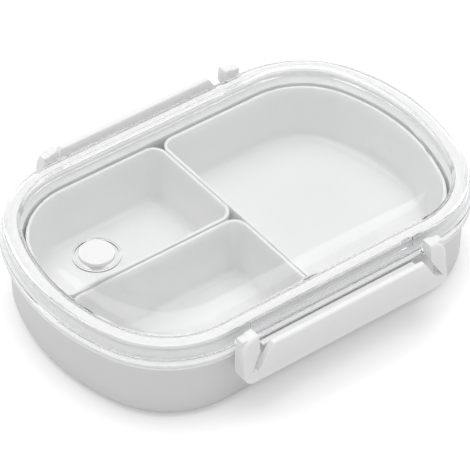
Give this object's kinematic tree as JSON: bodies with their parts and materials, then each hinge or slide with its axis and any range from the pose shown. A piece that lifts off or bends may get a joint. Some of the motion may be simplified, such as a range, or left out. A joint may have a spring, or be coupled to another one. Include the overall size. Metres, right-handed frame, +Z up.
{
  "type": "lunch box",
  "caption": "Rounded white lunch box with loose inner trays, clear domed locking lid with vent button, and hinged side clips.",
  "frame": {"origin": "centre of the base, at the plane the box stands on", "axes": "+X along the long side towards the large tray, +Y towards the back clip, +Z up through the lid"},
  "size_m": [0.2048, 0.1542, 0.05],
  "materials": {
    "box_plastic": "satin moulded white",
    "tray_plastic": "satin moulded white",
    "clear_plastic": "clear polished",
    "valve_plastic": "satin moulded white",
    "clip_plastic": "satin moulded white",
    "silicone": "soft translucent white"
  },
  "bodies": {
    "box": {"outer_shell": "box_plastic", "inner_tub": "box_plastic"},
    "lid": {"lid": "clear_plastic", "lid_seal": "silicone"},
    "valve": {"valve_button": "valve_plastic", "valve_seal": "silicone"},
    "front_clip": {"front_clip": "clip_plastic"},
    "back_clip": {"back_clip": "clip_plastic"},
    "tray_large": {"tray_large": "tray_plastic"},
    "tray_back_left": {"tray_back_left": "tray_plastic"},
    "tray_front_left": {"tray_front_left": "tray_plastic"}
  },
  "joints": [
    {"name": "lid_lift", "type": "slide", "parent": "box", "child": "lid", "axis": [0, 0, 1], "range_m": [0, 0.046]},
    {"name": "valve_lift", "type": "slide", "parent": "lid", "child": "valve", "axis": [0, 0, 1], "range_m": [0, 0.002]},
    {"name": "front_clip_hinge", "type": "hinge", "parent": "box", "child": "front_clip", "pos_m": [0, -0.071, 0.0234], "axis": [1, 0, 0], "range_deg": [0, 170]},
    {"name": "back_clip_hinge", "type": "hinge", "parent": "box", "child": "back_clip", "pos_m": [0, 0.071, 0.0234], "axis": [-1, 0, 0], "range_deg": [0, 170]},
    {"name": "tray_large_lift", "type": "slide", "parent": "box", "child": "tray_large", "axis": [0, 0, 1], "range_m": [0, 0.036]},
    {"name": "tray_back_left_lift", "type": "slide", "parent": "box", "child": "tray_back_left", "axis": [0, 0, 1], "range_m": [0, 0.036]},
    {"name": "tray_front_left_lift", "type": "slide", "parent": "box", "child": "tray_front_left", "axis": [0, 0, 1], "range_m": [0, 0.036]}
  ],
  "couplings": [
    {"joint": "front_clip_hinge", "follows": "lid_lift", "rad_per_m": 64.5},
    {"joint": "back_clip_hinge", "follows": "lid_lift", "rad_per_m": 64.5},
    {"joint": "tray_large_lift", "follows": "lid_lift", "ratio": 0.7826},
    {"joint": "tray_back_left_lift", "follows": "lid_lift", "ratio": 0.7826},
    {"joint": "tray_front_left_lift", "follows": "lid_lift", "ratio": 0.7826}
  ]
}
